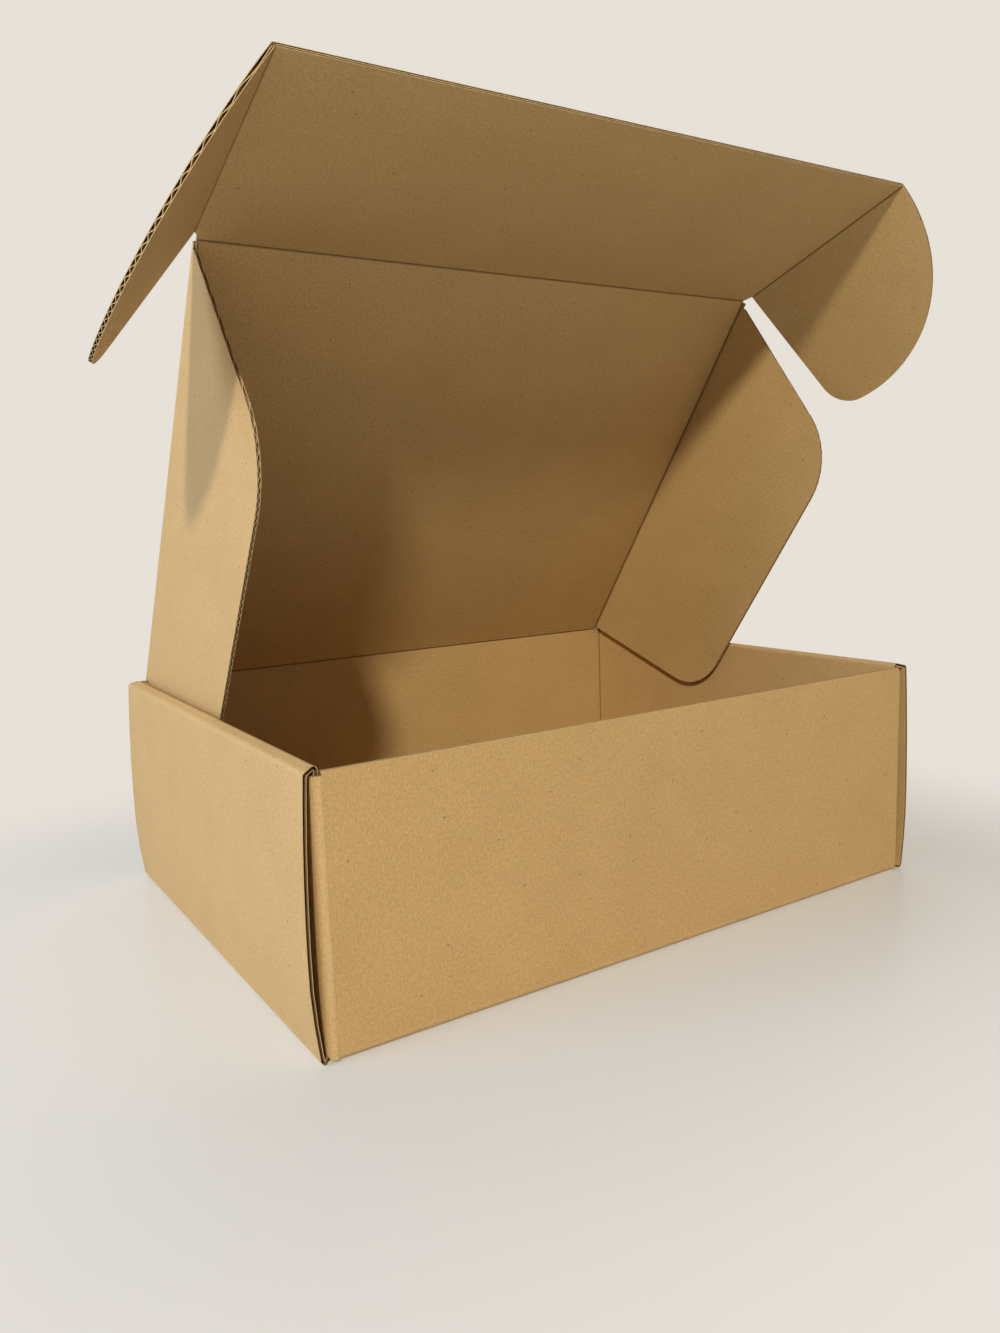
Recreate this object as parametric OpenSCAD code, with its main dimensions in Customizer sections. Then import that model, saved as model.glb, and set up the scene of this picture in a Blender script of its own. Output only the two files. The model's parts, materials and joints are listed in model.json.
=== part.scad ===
// Roll-end mailer box folded from one die-cut sheet of corrugated board, standing with its lid open.
// Millimetres. The origin is the middle of the base's underside: +X is right, +Y is back, +Z is up.

/* [Box] */
// Width over the side walls, at their creases
box_w = 306; // [220:1:420]
// Depth over the front and back walls
box_d = 229; // [160:1:320]
// Height of the rolled side walls
box_h = 102; // [80:1:150]

/* [Board] */
// Thickness of the board
board_t = 1.5; // [1.2:0.1:2.2]
// Inside radius of a wall fold
fold_inside_r = 1; // [0.6:0.1:3]
// Gap between a flap and the crease it turns on
crease_gap = 0.2; // [0.1:0.05:0.4]

/* [Side walls] */
// Air between the outer panel and the corner flaps
side_gap = 1.6; // [0.4:0.1:4]
// How far the outer panel bows out where it is widest
side_bow = 2.5; // [0.5:0.1:5]
// Height of the outer panel's widest point
bow_height = 34; // [25:1:50]
// Rise of the rolled top towards the inside
roll_rise = 1.6; // [0:0.1:2.5]
// Inside radius of the two folds of the rolled top
roll_inside_r = 0.4; // [0.2:0.1:0.8]
// Room beside each trapped layer
layer_clear = 0.2; // [0.1:0.05:0.6]
// Setback of the outer panel's ends from the front and back faces
side_setback = 0.4; // [0.2:0.1:1.5]
// Setback of the inner panel's ends from the corner folds
inner_setback = 0.1; // [0.1:0.1:1.5]

/* [Lock tabs] */
// Length of a lock tab on the foot of the inner panel
lock_tab_len = 38; // [20:1:50]
// Distance between the middles of the two lock tabs of a side
lock_tab_pitch = 118; // [60:1:130]
// Room round a lock tab in its slot
slot_clear = 0.4; // [0.2:0.1:1]

/* [Front and back walls] */
// Drop of the front wall's top below the rolled sides
front_drop = 2; // [0.5:0.1:6]
// Drop of the lid's crease below the rolled sides
hinge_drop = 1; // [0.5:0.1:3]
// Inside radius of a corner flap's fold
corner_fold_inside_r = 1.8; // [0.6:0.1:3]
// Length of a corner flap
corner_flap_len = 62; // [30:1:75]
// Drop of a corner flap's top below the front wall
corner_flap_drop = 1.7; // [1:0.1:6]
// Rise of a corner flap's foot above the bottom panel
corner_flap_rise = 0.6; // [0.4:0.1:6]
// Slope of a corner flap's long edges, in degrees
corner_flap_taper = 2.5; // [0:0.5:6]
// Radius of a corner flap's free corners
corner_flap_r = 7; // [2:0.5:15]

/* [Lid] */
// Angle of the lid above closed
lid_open = 54.2; // [20:0.1:120]
// Room between the tucked front flap and the front wall
tuck_wall_clear = 0.4; // [0.2:0.1:2]

/* [Dust flaps] */
// Room under a dust flap when the lid is closed
dust_floor_clear = 2.2; // [1:0.1:20]
// Distance of a dust flap's crease from the lid's back and front creases
dust_end_set = 2.6; // [1.5:0.1:10]
// Slope of a dust flap's front end, in degrees
dust_front_taper = 17.5; // [5:0.5:25]
// Slope of a dust flap's back end, in degrees
dust_back_taper = 17.5; // [5:0.5:25]
// Radius of a dust flap's front corner
dust_front_r = 34; // [10:1:50]
// Radius of a dust flap's back corner
dust_back_r = 30; // [10:1:50]

/* [Tuck flap] */
// Fold of the tuck flap from the lid's plane
tuck_fold = 35; // [0:0.1:80]
// Room under the tuck flap when the lid is closed
tuck_floor_clear = 1.3; // [0.5:0.1:20]

/* [Ears] */
// Fold of the right ear from the tuck flap's plane
right_ear_fold = 54.5; // [10:0.1:85]
// Fold of the left ear from the tuck flap's plane
left_ear_fold = 52; // [10:0.1:85]
// Room on each side of a folded ear, between the side wall and the dust flap
ear_clear = 0.3; // [0.2:0.05:1]
// Distance of an ear's straight edge from the lid's front crease
ear_set = 4.4; // [2:0.1:10]
// Slope of an ear's straight edge, in degrees
ear_taper = 1; // [0:0.5:8]
// Distance of the round edge's centre from the lid's front crease
ear_centre = 22; // [15:0.5:40]
// Radius of the corner between an ear's straight and round edges
ear_corner_r = 15; // [5:0.5:20]

/* [Hidden] */

kraft = "#c8a673";
half_t = board_t / 2;
fold_r = fold_inside_r + half_t;
corner_fold_r = corner_fold_inside_r + half_t;
roll_r = roll_inside_r + half_t;
arc_step = 9;
bow_steps = 8;

// Heights of the creases and cut edges
front_top = box_h - front_drop;
hinge_z = box_h - hinge_drop;
corner_top = front_top - corner_flap_drop;
corner_foot = board_t + corner_flap_rise;

// Layers of a side wall, measured from the middle of the box
outer_mid = box_w / 2 - half_t;
corner_face = box_w / 2 - board_t - side_gap;
inner_face = corner_face - 2 * board_t - layer_clear;
inner_mid = inner_face + half_t;
wall_mid = box_d / 2 - half_t;
flat_half_w = corner_face - half_t - corner_fold_r;
outer_end = box_d / 2 - side_setback;
fold_room = corner_fold_inside_r - sqrt(layer_clear * (2 * corner_fold_inside_r - layer_clear));
inner_end = box_d / 2 - board_t - fold_room - inner_setback;

// Creases of the lid and its flaps
ear_x = inner_face - ear_clear - half_t;
dust_x = inner_face - 2 * ear_clear - 2 * board_t;
lid_len = 2 * wall_mid - board_t - tuck_wall_clear;
tuck_len = hinge_z - board_t - tuck_floor_clear;
dust_depth = hinge_z - half_t - board_t - dust_floor_clear;
ear_r = tuck_len - ear_centre;
bead_relief = 0.05;
bead_r = half_t - bead_relief;
flap_start = half_t + crease_gap;
overlap = 1;

function unit(v) = v / norm(v);
function side_normal(a, b) = let (d = unit(b - a)) [-d[1], d[0]];
function xy(p) = [p[0], p[1]];

// Points of an arc about a centre, from one angle to another
function arc(c, r, a0, a1) =
    let (n = max(2, ceil(abs(a1 - a0) / arc_step)))
    [for (i = [0 : n]) let (a = a0 + (a1 - a0) * i / n) c + r * [cos(a), sin(a)]];

// Arc that rounds the corner b of the path a, b, c
function corner_arc(a, b, c, r) =
    let (u = unit(a - b), v = unit(c - b))
    let (half = acos(u * v) / 2)
    let (o = b + unit(u + v) * r / sin(half))
    let (s = b + u * r / tan(half) - o)
    let (e = b + v * r / tan(half) - o)
    let (a0 = atan2(s[1], s[0]), turn = atan2(s[0] * e[1] - s[1] * e[0], s * e))
    arc(o, r, a0, a0 + turn);

// A path of [x, y, radius] points with its inner corners rounded
function rounded_path(p) = [
    for (i = [0 : len(p) - 1])
        each (i == 0 || i == len(p) - 1 || p[i][2] == 0)
            ? [xy(p[i])]
            : corner_arc(xy(p[i - 1]), xy(p[i]), xy(p[i + 1]), p[i][2])
];

// Offset of a path's point i to its left by d, mitred
function offset_point(p, i, d) =
    let (n0 = side_normal(p[max(i - 1, 0)], p[max(i, 1)]))
    let (n1 = side_normal(p[min(i, len(p) - 2)], p[min(i + 1, len(p) - 1)]))
    p[i] + (n0 + n1) * d / (1 + n0 * n1);

// Outline of a board that follows a path along the middle of its thickness
function board_outline(p) = concat(
    [for (i = [0 : len(p) - 1]) offset_point(p, i, half_t)],
    [for (i = [len(p) - 1 : -1 : 0]) offset_point(p, i, -half_t)]
);

module both_sides() {
    children();
    mirror([1, 0, 0]) children();
}

// A profile in the XZ plane, extruded along Y
module along_y(from, to) {
    translate([0, to, 0]) rotate([90, 0, 0]) linear_extrude(to - from) children();
}

// A profile in the YZ plane, extruded along X
module along_x(from, to) {
    translate([from, 0, 0]) rotate([90, 0, 90]) linear_extrude(to - from) children();
}

// Section of a side wall: up the bowed outer panel, over the rolled top and down the inner panel
function side_path() =
    let (roll_z = box_h - half_t, foot = half_t + fold_r, top = roll_z - roll_rise)
    let (widest = (bow_height - foot) / (top - foot))
    rounded_path(concat(
        [[inner_face, half_t, 0], [outer_mid, half_t, fold_r]],
        [for (i = [1 : bow_steps - 1])
            let (u = i / bow_steps, off = (u - widest) / (u < widest ? widest : 1 - widest))
            [outer_mid + side_bow * (1 - off * off), foot + (top - foot) * u, 0]],
        [[outer_mid, top, roll_r], [inner_mid, roll_z, roll_r], [inner_mid, board_t + layer_clear, 0]]
    ));

// Plan of a side wall: the rolled ends slant in to the shorter inner panel
module side_plan() {
    slant_in = inner_mid + half_t;
    slant_out = outer_mid - half_t;
    far = outer_mid + side_bow + board_t;
    polygon([
        [inner_face - overlap, -inner_end], [slant_in, -inner_end], [slant_out, -outer_end], [far, -outer_end],
        [far, outer_end], [slant_out, outer_end], [slant_in, inner_end], [inner_face - overlap, inner_end]
    ]);
}

module side_wall() {
    intersection() {
        along_y(-box_d, box_d) polygon(board_outline(side_path()));
        linear_extrude(2 * box_h) side_plan();
    }
}

// Boxes at the foot of the inner panel, for the lock tabs and the slots they stand in
module lock_row(room, low, high) {
    for (side = [-1, 1])
        translate([inner_face - room, side * lock_tab_pitch / 2 - lock_tab_len / 2 - room, low])
            cube([board_t + 2 * room, lock_tab_len + 2 * room, high - low]);
}

// Section of the front or back wall, drawn at the back
module wall_profile(top) {
    polygon(board_outline(rounded_path([
        [wall_mid - fold_r - overlap, half_t, 0], [wall_mid, half_t, fold_r], [wall_mid, top, 0]
    ])));
}

// Corner flap of the back wall: folded forward inside the outer panel, with tapered edges
module corner_flap() {
    free_end = box_d / 2 - corner_flap_len;
    drop = corner_flap_len * tan(corner_flap_taper);
    intersection() {
        linear_extrude(box_h)
            polygon(board_outline(rounded_path([
                [flat_half_w - overlap, wall_mid, 0],
                [corner_face - half_t, wall_mid, corner_fold_r],
                [corner_face - half_t, free_end, 0]
            ])));
        along_x(0, box_w)
            polygon(rounded_path([
                [box_d / 2 + overlap, corner_foot, 0],
                [free_end, corner_foot + drop, corner_flap_r],
                [free_end, corner_top - drop, corner_flap_r],
                [box_d / 2 + overlap, corner_top, 0]
            ]));
    }
}

// Bead along a crease that runs along X
module crease_bead_x(half_w) {
    rotate([0, 90, 0]) cylinder(h = 2 * half_w, r = bead_r, center = true, $fn = 32);
}

// Bead along a crease that runs along Y
module crease_bead_y(from, to) {
    translate([0, to, 0]) rotate([90, 0, 0]) cylinder(h = to - from, r = bead_r, $fn = 32);
}

// Places a flap drawn flat in the closed lid's frame, with the hinge along X at the origin
module at_lid() {
    translate([0, wall_mid, hinge_z]) rotate([-lid_open, 0, 0]) children();
}

// Places a flap drawn flat in front of the lid's front crease
module at_tuck() {
    at_lid() translate([0, -lid_len, 0]) rotate([tuck_fold, 0, 0]) children();
}

module board(outline) {
    translate([0, 0, -half_t]) linear_extrude(board_t) polygon(outline);
}

module tray() {
    base_half_w = outer_mid - fold_r;
    base_half_d = wall_mid - fold_r;
    color(kraft) difference() {
        union() {
            translate([-base_half_w, -base_half_d, 0]) cube([2 * base_half_w, 2 * base_half_d, board_t]);
            along_x(-flat_half_w, flat_half_w) wall_profile(hinge_z);
            mirror([0, 1, 0]) along_x(-flat_half_w, flat_half_w) wall_profile(front_top);
            translate([0, wall_mid, hinge_z]) crease_bead_x(flat_half_w);
            both_sides() {
                side_wall();
                corner_flap();
                mirror([0, 1, 0]) corner_flap();
            }
        }
        both_sides() lock_row(slot_clear, -overlap, board_t + layer_clear / 2);
    }
    color(kraft) both_sides() lock_row(0, layer_clear, board_t + 2 * layer_clear);
}

module lid() {
    round_r = board_t - bead_relief;
    from = -lid_len + dust_end_set;
    color(kraft) at_lid() {
        board([[-dust_x, -flap_start], [dust_x, -flap_start], [dust_x, -lid_len], [-dust_x, -lid_len]]);
        translate([0, -lid_len, 0]) crease_bead_x(dust_x);
        both_sides() intersection() {
            translate([dust_x, -dust_end_set, -half_t])
                rotate([90, 0, 0]) cylinder(h = -dust_end_set - from, r = round_r, $fn = 48);
            translate([dust_x - half_t, from - overlap, -half_t]) cube([2 * board_t, lid_len, 2 * board_t]);
        }
    }
}

// Right dust flap: tapered ends and round corners, hanging from the lid's inner face
module dust_flap() {
    back = -dust_end_set;
    front = -lid_len + dust_end_set;
    color(kraft) at_lid() translate([dust_x, 0, -half_t]) rotate([0, 90, 0])
        linear_extrude(board_t) polygon(rounded_path([
            [crease_gap, back, 0],
            [dust_depth, back - dust_depth * tan(dust_back_taper), dust_back_r],
            [dust_depth, front + dust_depth * tan(dust_front_taper), dust_front_r],
            [crease_gap, front, 0]
        ]));
}

module left_dust_flap() { mirror([1, 0, 0]) dust_flap(); }

module right_dust_flap() { dust_flap(); }

module tuck_flap() {
    color(kraft) at_tuck() {
        board([
            [-dust_x, -flap_start], [dust_x, -flap_start], [ear_x, -ear_set],
            [ear_x, -tuck_len], [-ear_x, -tuck_len], [-ear_x, -ear_set]
        ]);
        both_sides() translate([ear_x, 0, 0]) crease_bead_y(-tuck_len, -ear_set);
    }
}

// Right ear: one straight edge, then a round corner into an arc that ends at the tuck flap's free edge
module ear(fold) {
    centre = [0, -ear_centre];
    slope = tan(ear_taper);
    a = ear_set + ear_corner_r / cos(ear_taper) - ear_centre;
    reach = ear_r - ear_corner_r;
    corner_x = (sqrt((1 + slope * slope) * reach * reach - a * a) - slope * a) / (1 + slope * slope);
    corner = centre + [corner_x, -a - slope * corner_x];
    meet = atan2(corner[1] - centre[1], corner[0] - centre[0]);
    start_angle = -acos(flap_start / ear_r);
    color(kraft) at_tuck() translate([ear_x, 0, 0]) rotate([0, fold, 0])
        board(concat(
            arc(centre, ear_r, start_angle, meet),
            arc(corner, ear_corner_r, meet, 90 - ear_taper),
            [[flap_start, -ear_set - flap_start * slope]]
        ));
}

module left_ear() { mirror([1, 0, 0]) ear(left_ear_fold); }

module right_ear() { ear(right_ear_fold); }

tray();
lid();
left_dust_flap();
right_dust_flap();
tuck_flap();
left_ear();
right_ear();
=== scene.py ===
# %% [markdown]
# # A corrugated mailer box, dressed as real board
# The part is a die-cut mailer: one sheet of brown E-flute board, folded into a tray with rolled
# side walls, a lid, two dust flaps, a tuck flap and two round ears. The drawing already holds the
# true folds, so this lesson adds what makes card look like card: two paper liners with a wavy
# paper core between them, creases that bend with the flaps, and a kraft paper finish.

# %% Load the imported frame
import json
import math

import bpy
import numpy as np
from mathutils import Matrix, Vector


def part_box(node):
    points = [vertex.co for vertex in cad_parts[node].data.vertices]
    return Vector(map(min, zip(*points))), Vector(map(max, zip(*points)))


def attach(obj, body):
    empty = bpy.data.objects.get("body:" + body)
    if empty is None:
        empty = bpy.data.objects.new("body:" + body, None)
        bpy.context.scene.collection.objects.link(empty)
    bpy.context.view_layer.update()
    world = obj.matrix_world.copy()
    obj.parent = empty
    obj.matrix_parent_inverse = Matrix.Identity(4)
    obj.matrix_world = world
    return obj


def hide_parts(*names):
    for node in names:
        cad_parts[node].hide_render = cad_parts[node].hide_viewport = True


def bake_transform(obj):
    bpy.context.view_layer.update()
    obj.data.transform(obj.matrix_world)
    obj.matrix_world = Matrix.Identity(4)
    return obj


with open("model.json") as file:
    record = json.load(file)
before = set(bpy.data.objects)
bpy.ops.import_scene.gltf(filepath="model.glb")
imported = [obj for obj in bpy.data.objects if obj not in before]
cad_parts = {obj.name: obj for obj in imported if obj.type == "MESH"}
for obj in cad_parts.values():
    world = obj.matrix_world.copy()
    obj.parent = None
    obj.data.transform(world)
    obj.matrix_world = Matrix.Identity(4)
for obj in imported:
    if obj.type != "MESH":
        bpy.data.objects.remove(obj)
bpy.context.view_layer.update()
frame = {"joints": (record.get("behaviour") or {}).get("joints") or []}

# %% [markdown]
# Everything is placed from the frame. Each joint's point lies on a crease, so the creases give the
# lid's length and direction, and the distance of the dust crease from the lid's middle plane is
# half the board. The smaller sizes, which no joint or box tells, are named in millimetres in the
# cells that need them.

# %% Sizes from the frame
MM = 0.001
RIGHT = np.array((1.0, 0.0, 0.0))
BACK = np.array((0.0, 1.0, 0.0))
UP = np.array((0.0, 0.0, 1.0))
joints = {joint["name"]: joint for joint in frame["joints"]}
place = {name: np.array(joint["pos_m"]) for name, joint in joints.items()}

lid_crease, tuck_crease = place["lid_hinge"], place["tuck_hinge"]
lid_len = np.linalg.norm(tuck_crease - lid_crease)
lid_dir = (tuck_crease - lid_crease) / lid_len
lid_in = np.cross(RIGHT, lid_dir)
tuck_dir = np.array(joints["right_ear_hinge"]["axis"], float)
tuck_in = np.cross(RIGHT, tuck_dir)
dust_x = place["right_dust_hinge"][0]
ear_x = place["right_ear_hinge"][0]
half_t = np.linalg.norm(place["right_dust_hinge"] - lid_crease - RIGHT * dust_x)
board_t = 2 * half_t
wall_mid, hinge_z = lid_crease[1], lid_crease[2]
tray_high = np.array(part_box("tray")[1])
print(f"board {board_t / MM:.2f} mm, lid {2 * dust_x / MM:.1f} x {lid_len / MM:.1f} mm")

# %% [markdown]
# The board is three papers glued together: a flat liner on each side and a fluted medium between.
# It could be one solid with a striped edge painted on, but the edge of a dust flap is seen close up,
# where light falls into the flutes, so each paper is modelled. A *sheet* here is a function: given
# stations across the flutes it returns a grid of points on the board's middle surface, with their
# normals, their places on the flat sheet and a mark on each fold. A slab is one paper between two
# offsets of such a grid. Its top, bottom and rim each get one of four finishes: outer liner, inner
# liner, bare fluting or cut edge.

# %% One paper layer
OUTSIDE, INSIDE, FLUTING, CUT = range(4)


def slab(grid, top, bottom, finish, keep=None):
    """A closed layer of paper between two offsets of a grid, with a rim round every open edge."""
    mid, out, sheet_mm, fold = grid
    n, m = mid.shape[:2]
    keep = np.ones((n - 1, m - 1), bool) if keep is None else keep
    index = np.arange(n * m).reshape(n, m)
    a, b, c, d = index[:-1, :-1], index[1:, :-1], index[1:, 1:], index[:-1, 1:]
    below = n * m
    upper = np.stack([a, b, c, d], -1)[keep]
    lower = np.stack([d, c, b, a], -1)[keep] + below
    ring = np.pad(keep, 1)
    sides = (
        (ring[:-2, 1:-1], a, d),
        (ring[2:, 1:-1], c, b),
        (ring[1:-1, :-2], b, a),
        (ring[1:-1, 2:], d, c),
    )
    rim = []
    for neighbour, first, last in sides:
        bare = keep & ~neighbour
        p, q = first[bare], last[bare]
        rim.append(np.stack([p, q, q + below, p + below], -1))
    faces = np.concatenate([upper, lower, *rim])
    # A cell near the middle tells whether the faces look outwards.
    i, j = (n - 1) // 2, (m - 1) // 2
    turn = np.cross(mid[i + 1, j] - mid[i, j], mid[i, j + 1] - mid[i, j]) @ out[i, j]
    if turn < 0:
        faces = faces[:, ::-1]
    counts = (len(upper), len(lower), len(faces) - len(upper) - len(lower))
    top_points, bottom_points = mid + out * top, mid + out * bottom
    return {
        "points": np.concatenate([top_points.reshape(-1, 3), bottom_points.reshape(-1, 3)]),
        "sheet_mm": np.tile(sheet_mm.reshape(-1, 2), (2, 1)),
        "fold": np.tile(fold.reshape(-1), 2),
        "faces": faces,
        "finish": np.repeat(finish, counts),
    }


# %% [markdown]
# E-flute has about 300 waves to the metre, so one wave is 3.3 mm long. The liners are drawn at
# 0.2 mm, close to real ones. A real medium is about 0.16 mm and would be lost in the picture, so it
# is drawn half as thick again. The wave is a cosine sampled eight times, which smooth shading makes
# round, and only the medium needs those stations: the liners are flat between their folds. Where
# the cutting die has taken the liners away, the medium is left out too.

# %% Three papers make a board
FLUTE = 3.3 * MM
WAVE_STEPS = 8
LINER = 0.2 * MM
MEDIUM = 0.24 * MM
GLUE_GAP = 0.01 * MM


def wave_stations(start, end):
    return np.linspace(start, end, max(2, round((end - start) / FLUTE * WAVE_STEPS)))


def fluted_board(sheet, stations, cores, keep=None, inner_crease_shade=0):
    """Liners through the given stations, and the medium along each (start, end) stretch of cores.

    keep marks the cells that the die leaves; the last argument is how much painted crease shade darkens the
    inner liner's folds.
    """
    *grid, fold = sheet(np.asarray(stations))
    layers = [
        slab((*grid, fold), half_t, half_t - LINER, (OUTSIDE, FLUTING, CUT), keep),
        slab((*grid, inner_crease_shade * fold), LINER - half_t, -half_t, (FLUTING, INSIDE, CUT), keep),
    ]
    crest = half_t - LINER - MEDIUM / 2 - GLUE_GAP
    for start, end in cores:
        across = wave_stations(start, end)
        wave = crest * np.cos(2 * np.pi * across / FLUTE)[:, None, None]
        covered = None
        if keep is not None:
            middle = np.searchsorted(stations, (start + end) / 2) - 1
            covered = np.tile(keep[middle], (len(across) - 1, 1))
        finish = (FLUTING, FLUTING, CUT)
        layers.append(slab(sheet(across), wave + MEDIUM / 2, wave - MEDIUM / 2, finish, covered))
    return layers


def face_count(layers):
    return sum(len(layer["faces"]) for layer in layers)


print(f"wave {FLUTE / MM:.1f} mm, liners {LINER / MM:.2f} mm, medium {MEDIUM / MM:.2f} mm")

# %% [markdown]
# A piece is a list of layers joined into one mesh. Each vertex carries its place on the flat sheet,
# in millimetres, as a UV map: that is where the paper's fibres and flutes were before folding, so
# the finish runs round the folds as it does on the real box. A second value marks the folds.

# %% Layers into a mesh piece
SHARP_ANGLE = math.radians(35)
finishes = {}


def mesh_piece(name, layers):
    """One object from layers of paper, with the board's four finishes."""
    offsets = np.cumsum([0] + [len(layer["points"]) for layer in layers])
    faces = np.concatenate([layer["faces"] + shift for layer, shift in zip(layers, offsets)])
    points, sheet_mm, folds, finish = (
        np.concatenate([layer[key] for layer in layers])
        for key in ("points", "sheet_mm", "fold", "finish")
    )
    assert np.isfinite(points).all(), name
    mesh = bpy.data.meshes.new(name)
    mesh.from_pydata(points.tolist(), [], faces.tolist())
    mesh.polygons.foreach_set("material_index", finish)
    mesh.polygons.foreach_set("use_smooth", np.ones(len(faces), bool))
    corner_vertex = np.zeros(len(mesh.loops), np.int32)
    mesh.loops.foreach_get("vertex_index", corner_vertex)
    uv_map = mesh.uv_layers.new(name="sheet_mm")
    uv_map.data.foreach_set("uv", sheet_mm[corner_vertex].astype(np.float32).ravel())
    fold_mark = mesh.attributes.new("fold", "FLOAT", "POINT")
    fold_mark.data.foreach_set("value", folds.astype(np.float32))
    mesh.set_sharp_from_angle(angle=SHARP_ANGLE)
    mesh.update()
    piece = bpy.data.objects.new(name, mesh)
    bpy.context.scene.collection.objects.link(piece)
    for side in (OUTSIDE, INSIDE, FLUTING, CUT):
        mesh.materials.append(finishes[side])
    print(f"{name}: {len(faces)} faces")
    return piece


# %% [markdown]
# Each finish is a tree of shader nodes. Colours are written as on a screen, and one function turns
# them into the linear values that light is computed with. A second one adds a node, sets it up and
# links it, so a tree reads from top to bottom like the layers of a real surface.

# %% Colours and nodes
# A Mix node has sockets for every kind of data. These are the ones for colours.
MIX_SHARE, MIX_FIRST, MIX_SECOND, MIX_RESULT = 0, 6, 7, 2


def linear(hex_colour):
    """An sRGB hex colour as linear RGBA."""
    channels = [int(hex_colour[i:i + 2], 16) / 255 for i in (1, 3, 5)]
    return *[c / 12.92 if c <= 0.04045 else ((c + 0.055) / 1.055) ** 2.4 for c in channels], 1.0


def add(tree, kind, inputs=None, **settings):
    """One node with its settings; an input is either a value or another node's output."""
    node = tree.nodes.new(kind)
    for name, value in settings.items():
        setattr(node, name, value)
    for socket, value in (inputs or {}).items():
        if isinstance(value, bpy.types.NodeSocket):
            tree.links.new(value, node.inputs[socket])
        else:
            node.inputs[socket].default_value = value
    return node


def blank_material(name):
    material = bpy.data.materials.new(name)
    material.use_nodes = True
    material.node_tree.nodes.clear()
    return material, material.node_tree


# %% [markdown]
# Kraft liner is unbleached wood pulp, pressed on a paper machine. What the eye gets is a warm brown
# that is never even: long fibres lie mostly along the machine's run, which is across the flutes,
# and pulp gathers in faint clouds. The clouds are about 30 mm wide and the fibre mottle about 1 mm.
# Single fibres are 0.03 mm thick, far too fine to show, so the streaks that stand for them are drawn
# 0.5 mm wide. A scanned paper would repeat, so the pattern is made of three noises.

# %% Pulp pattern
CLOUD_MM = 30
MOTTLE_MM = (0.8, 1.1)
STREAK_MM = (0.5, 4.0)
STREAK_WEIGHT, CLOUD_WEIGHT = 0.3, 0.15


def per_mm(size):
    """The scale of a pattern that has this size along and across the flutes."""
    return (1 / size[0], 1 / size[1], 1)


def pulp_pattern(tree, sheet):
    """The mottle alone, the mottle with streaks of fibre, and both with the clouds."""
    cloud = add(tree, "ShaderNodeTexNoise", {"Vector": sheet, "Scale": 1 / CLOUD_MM, "Detail": 2.0})
    mottle_at = add(tree, "ShaderNodeMapping", {"Vector": sheet, "Scale": per_mm(MOTTLE_MM)})
    mottle = add(tree, "ShaderNodeTexNoise", {
        "Vector": mottle_at.outputs[0], "Scale": 1.0, "Detail": 4.0, "Roughness": 0.7,
    })
    streak_at = add(tree, "ShaderNodeMapping", {"Vector": sheet, "Scale": per_mm(STREAK_MM)})
    streak = add(tree, "ShaderNodeTexNoise", {
        "Vector": streak_at.outputs[0], "Scale": 1.0, "Detail": 2.0,
    })
    paper = add(tree, "ShaderNodeMath", {
        0: streak.outputs[0], 1: STREAK_WEIGHT, 2: mottle.outputs[0],
    }, operation="MULTIPLY_ADD")
    pulp = add(tree, "ShaderNodeMath", {
        0: cloud.outputs[0], 1: CLOUD_WEIGHT, 2: paper.outputs[0],
    }, operation="MULTIPLY_ADD")
    return mottle.outputs[0], paper.outputs[0], pulp.outputs[0]


# %% [markdown]
# A few dark specks of bark stay in the pulp. They sit in 32 mm cells of a Voronoi pattern, and only
# the nearest 0.6 mm round each cell's point is dark. On a fold the stretched outer liner turns a
# little paler, while on the inner one a dark line of painted shade stands for the shade in the
# crease's groove, so each liner has a colour for its folds. The surface is matt, with a slight gloss
# at a grazing angle, and the flutes under it print a very shallow washboard, which is a bump here
# because it is far thinner than the paper.

# %% Kraft liner
PULP_RANGE = (0.53, 0.93)
SPECK_CELL_MM, SPECK_MM = 32, 0.6
BARK, BARK_SHARE = "#6B4A24", 0.9
FLUTE_MM = FLUTE / MM
WASHBOARD = 0.1
PAPER_RELIEF = 0.12 * MM
PAPER_ROUGHNESS = (0.62, 0.86)


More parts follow.
